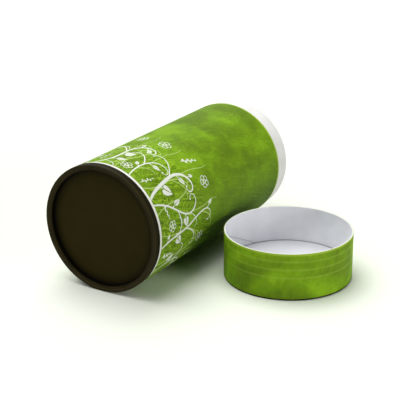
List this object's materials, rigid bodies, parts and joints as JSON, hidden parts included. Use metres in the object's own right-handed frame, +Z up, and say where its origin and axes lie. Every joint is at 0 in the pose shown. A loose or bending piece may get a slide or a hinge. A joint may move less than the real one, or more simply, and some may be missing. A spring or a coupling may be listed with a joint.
{
  "type": "gift tube box",
  "caption": "Cylindrical paperboard gift tube with a stepped neck and a slip-on lid, shown open: the tube lies on its side and the lid stands beside it.",
  "frame": {"origin": "on the table, under the middle of the bounding box of the lying tube and the standing lid", "axes": "+X along the lying tube from its base to its neck, +Z up, the lid stands on the -Y side"},
  "size_m": [0.1756, 0.1754, 0.0855],
  "materials": {
    "white_board": "matt white wound board",
    "neck_card": "smooth white card",
    "liner_paper": "smooth white paper",
    "printed_wrap": "satin print, mottled green with a white ornament",
    "lid_print": "satin print, mottled green with three pale lines",
    "dark_paper_rim": "dark brown, satin",
    "dark_paper_disc": "dark brown, matt"
  },
  "bodies": {
    "tube": {"inner_tube": "white_board", "inner_liner": "liner_paper", "neck_facing": "neck_card", "outer_tube": "white_board", "body_wrap": "printed_wrap", "base_rim": "dark_paper_rim", "base_disc": "dark_paper_disc", "tube_floor": "liner_paper"},
    "lid": {"lid_tube": "white_board", "lid_liner": "liner_paper", "lid_wrap": "lid_print", "crown_rim": "dark_paper_rim", "crown_disc": "dark_paper_disc", "lid_floor": "liner_paper"}
  },
  "joints": [
    {"name": "lid_lift", "type": "slide", "parent": "tube", "child": "lid", "axis": [0, 0, 1], "range_m": [0, 0.12]}
  ]
}
